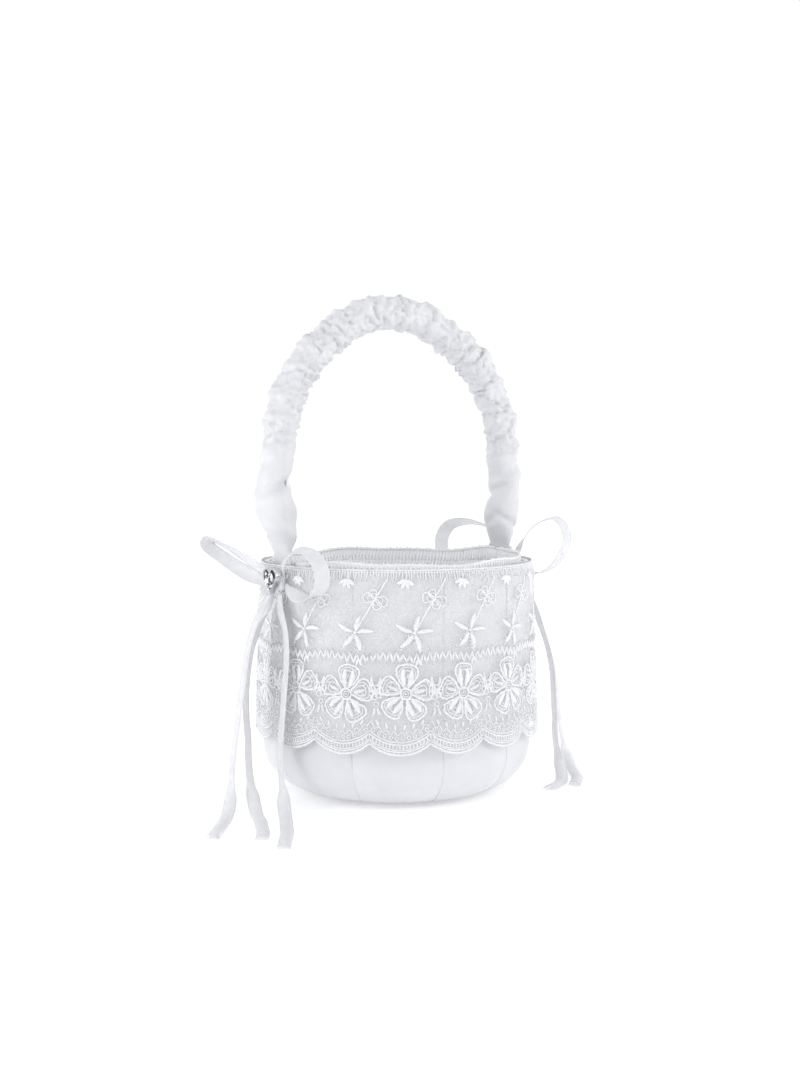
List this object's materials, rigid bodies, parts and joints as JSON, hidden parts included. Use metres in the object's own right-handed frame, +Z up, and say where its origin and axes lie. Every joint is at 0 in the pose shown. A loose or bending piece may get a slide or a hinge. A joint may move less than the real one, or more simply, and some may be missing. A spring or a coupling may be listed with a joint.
{
  "type": "flower girl basket",
  "caption": "Round satin covered basket with a scalloped lace skirt, a ruched arched handle, sheer ribbon bows with long tails and heart stones.",
  "frame": {"origin": "centre of the base, on the surface the basket stands on", "axes": "+Z up along the basket's axis; the handle arches in the XZ plane, from the front bow at -X to the back bow at +X; -Y is the front"},
  "size_m": [0.2074, 0.1426, 0.2306],
  "materials": {
    "cup_board": "pressed board, matt",
    "satin": "white satin with a soft sheen",
    "lining_satin": "white satin lining",
    "base_card": "white card, matt",
    "lace": "white tulle with satin stitch embroidery",
    "braid": "white woven braid",
    "handle_plastic": "pale flexible plastic",
    "ribbon": "sheer white ribbon with woven edges",
    "silver_metal": "polished silver colour",
    "clear_stone": "clear cut stone"
  },
  "bodies": {
    "root": {"cup_shell": "cup_board", "satin_cover": "satin", "base_disc": "base_card", "floor_board": "cup_board", "lining": "lining_satin", "rim_braid": "braid", "lace_skirt": "lace", "handle_strip": "handle_plastic", "handle_sleeve": "satin", "front_loop_right": "ribbon", "front_loop_left": "ribbon", "front_knot": "ribbon", "front_tail_a": "ribbon", "front_tail_b": "ribbon", "front_tail_c": "ribbon", "front_heart_setting": "silver_metal", "front_heart_stone": "clear_stone", "back_loop_left": "ribbon", "back_loop_right": "ribbon", "back_knot": "ribbon", "back_tail_a": "ribbon", "back_tail_b": "ribbon", "back_heart_setting": "silver_metal", "back_heart_stone": "clear_stone"}
  },
  "joints": []
}
